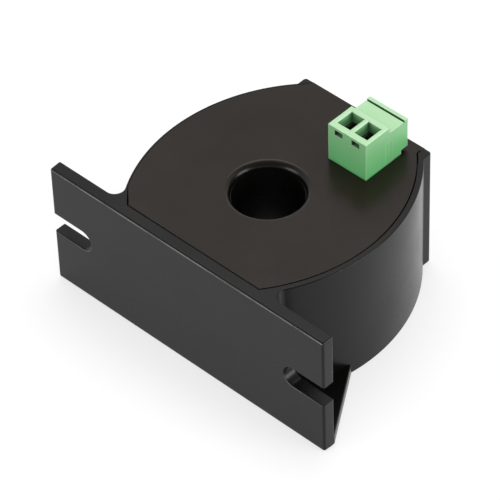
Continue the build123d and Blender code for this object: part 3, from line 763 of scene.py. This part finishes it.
class SWITCH_OT_board(bpy.types.Operator):
    """Finishes the circuit board and the parts on it"""

    bl_idname = "switch.board"
    bl_label = "Board"

    def execute(self, context):
        s = context.scene.switch_board
        # Solder mask, printed on glass laminate: a thin glossy lacquer that shows a little of the weave
        dress("circuit_board", grained("solder_mask", s.mask, rough=0.3, grain_mm=0.3, depth_mm=0.003))
        # Epoxy, moulded round the chips: dull black with a fine grain
        epoxy = grained("moulded_epoxy", s.epoxy, rough=0.5, grain_mm=0.15, depth_mm=0.004)
        for node in ("bridge_rectifier", "switching_device"):
            dress(node, epoxy)
        # PVC sleeve, shrunk over the capacitor's can: smooth and glossy
        dress("smoothing_capacitor", grained("capacitor_sleeve", s.sleeve, rough=0.3, grain_mm=0.3,
                                             depth_mm=0.002))
        # Epoxy, dipped: glossy, with slight ripples
        dress("surge_varistor", grained("dipped_epoxy", s.varistor, rough=0.3, grain_mm=0.5, depth_mm=0.01))
        # Lacquer, dipped in several coats: pale and a little chalky
        lacquer = grained("resistor_lacquer", s.resistor, rough=0.4, grain_mm=0.2, depth_mm=0.004)
        for node in ("load_resistor", "gate_resistor"):
            dress(node, lacquer)
        # Glass, fused round the diode: smooth and bright
        dress("zener_diode", grained("diode_glass", s.diode, rough=0.12, grain_mm=0.3, depth_mm=0.001))
        return {"FINISHED"}


def seen_directly(tree):
    """One for camera, glossy and transmission rays, and zero for the light that falls on the object."""
    rays = add_node(tree, "ShaderNodeLightPath").outputs
    seen = rays["Is Camera Ray"]
    for ray in ("Is Glossy Ray", "Is Transmission Ray"):
        seen = add_node(tree, "ShaderNodeMath", {"operation": "MAXIMUM"},
                        {0: seen, 1: rays[ray]}).outputs["Value"]
    return seen


def area_light(name, place, aim, size, power):
    """Square soft light at a place, turned towards a point."""
    data = bpy.data.lights.new(name, "AREA")
    data.size = size
    data.energy = power
    light = bpy.data.objects.new(name, data)
    light.location = place
    light.rotation_euler = (Vector(aim) - Vector(place)).to_track_quat("-Z", "Y").to_euler()
    bpy.context.scene.collection.objects.link(light)
    return light


class SWITCH_OT_stage(bpy.types.Operator):
    """Sets the pale floor, the surround, the lights and the camera"""

    bl_idname = "switch.stage"
    bl_label = "Stage"

    def execute(self, context):
        s = context.scene.switch_stage
        self.make_floor(s)
        self.make_surround(s)
        centre = (CAD_BOX[0] + CAD_BOX[1]) / 2
        for name, place, size, power, reflected in LIGHTS:
            light = area_light(name, place, centre, size, getattr(s, power))
            light.visible_glossy = reflected
        self.make_camera(s)
        context.scene.view_settings.view_transform = "Standard"
        return {"FINISHED"}

    def make_floor(self, s):
        """Pale floor that looks white to the camera and in reflections, and keeps a faint shadow."""
        half = s.floor_size / 2
        corners = [(-half, -half, 0), (half, -half, 0), (half, half, 0), (-half, half, 0)]
        mesh = bpy.data.meshes.new("floor")
        mesh.from_pydata(corners, [], [(0, 1, 2, 3)])
        floor = bpy.data.objects.new("floor", mesh)
        bpy.context.scene.collection.objects.link(floor)
        # Matt paper, an even pale grey that scatters light without gloss
        material, tree, output = blank_material("pale_paper")
        paper = add_node(tree, "ShaderNodeBsdfDiffuse", {"Color": (*s.floor_colour, 1.0)}).outputs[0]
        veil = add_node(tree, "ShaderNodeEmission", {"Color": WHITE, "Strength": s.veil}).outputs[0]
        both = add_node(tree, "ShaderNodeAddShader", links={0: paper, 1: veil}).outputs[0]
        mix = add_node(tree, "ShaderNodeMixShader", links={"Fac": seen_directly(tree), 1: paper, 2: both})
        tree.links.new(mix.outputs[0], output.inputs["Surface"])
        mesh.materials.append(material)

    def make_surround(self, s):
        """White surround to the camera and in reflections, with a dim ceiling over the camera that only
        reflections see, and a plain level for the light on the object."""
        world = bpy.data.worlds.new("surround")
        world.use_nodes = True
        tree = world.node_tree
        tree.nodes.clear()
        towards = add_node(tree, "ShaderNodeTexCoord").outputs["Generated"]
        middle = Vector((math.sin(s.azimuth), -math.cos(s.azimuth), CEILING_STEEPNESS)).normalized()
        near = add_node(tree, "ShaderNodeVectorMath", {"operation": "DOT_PRODUCT", 1: middle}, {0: towards})
        dome = add_node(tree, "ShaderNodeMapRange",
                        {"interpolation_type": "SMOOTHSTEP", "From Min": CEILING_START,
                         "From Max": CEILING_FULL, "To Min": 1.0, "To Max": s.ceiling},
                        {"Value": near.outputs["Value"]})
        path = add_node(tree, "ShaderNodeLightPath")
        level = add_node(tree, "ShaderNodeMath", {"operation": "MAXIMUM"},
                         {0: path.outputs["Is Camera Ray"], 1: dome.outputs["Result"]})
        white = add_node(tree, "ShaderNodeBackground", {"Color": WHITE}, {"Strength": level.outputs["Value"]})
        plain = add_node(tree, "ShaderNodeBackground", {"Color": WHITE, "Strength": s.surround})
        mix = add_node(tree, "ShaderNodeMixShader",
                       links={"Fac": seen_directly(tree), 1: plain.outputs[0], 2: white.outputs[0]})
        add_node(tree, "ShaderNodeOutputWorld", links={"Surface": mix.outputs[0]})
        bpy.context.scene.world = world

    def make_camera(self, s):
        """Camera at the photograph's angle, distance and lens."""
        level = math.cos(s.elevation)
        back = Vector((math.sin(s.azimuth) * level, -math.cos(s.azimuth) * level, math.sin(s.elevation)))
        data = bpy.data.cameras.new("camera")
        data.sensor_width = PICTURE_WIDTH_MM
        data.lens = s.lens
        data.clip_start, data.clip_end = 0.01, 20.0
        camera = bpy.data.objects.new("camera", data)
        turn = back.to_track_quat("Z", "Y").to_matrix().to_4x4() @ Matrix.Rotation(-s.roll, 4, "Z")
        camera.matrix_world = Matrix.Translation(Vector(s.aim) + back * s.distance) @ turn
        bpy.context.scene.collection.objects.link(camera)
        bpy.context.scene.camera = camera


class SWITCH_PT_panel(bpy.types.Panel):
    """Lists the pieces of the switch"""

    bl_idname = "SWITCH_PT_panel"
    bl_label = "Current Sensing Switch"
    bl_space_type = "VIEW_3D"
    bl_region_type = "UI"
    bl_category = "Switch"

    def draw(self, context):
        for operator, settings in STEPS:
            box = self.layout.box()
            box.operator(operator.bl_idname)
            group = getattr(context.scene, settings)
            for name in group.__annotations__:
                box.prop(group, name)


STEPS = (
    (SWITCH_OT_housing, "switch_housing"),
    (SWITCH_OT_lid, "switch_lid"),
    (SWITCH_OT_terminal, "switch_terminal"),
    (SWITCH_OT_coil, "switch_coil"),
    (SWITCH_OT_board, "switch_board"),
    (SWITCH_OT_stage, "switch_stage"),
)
GROUPS = {
    "switch_housing": HousingSettings,
    "switch_lid": LidSettings,
    "switch_terminal": TerminalSettings,
    "switch_coil": CoilSettings,
    "switch_board": BoardSettings,
    "switch_stage": StageSettings,
}


def register():
    """Registers the settings, the operators and the panel."""
    for name, group in GROUPS.items():
        bpy.utils.register_class(group)
        setattr(bpy.types.Scene, name, PointerProperty(type=group))
    for operator, _ in STEPS:
        bpy.utils.register_class(operator)
    bpy.utils.register_class(SWITCH_PT_panel)


def unregister():
    """Removes what register added."""
    bpy.utils.unregister_class(SWITCH_PT_panel)
    for operator, _ in reversed(STEPS):
        bpy.utils.unregister_class(operator)
    for name, group in reversed(GROUPS.items()):
        delattr(bpy.types.Scene, name)
        bpy.utils.unregister_class(group)


def main():
    """Builds every piece and the stage in order."""
    register()
    for operator, _ in STEPS:
        group, name = operator.bl_idname.split(".")
        getattr(getattr(bpy.ops, group), name)()


if __name__ == "__main__":
    main()
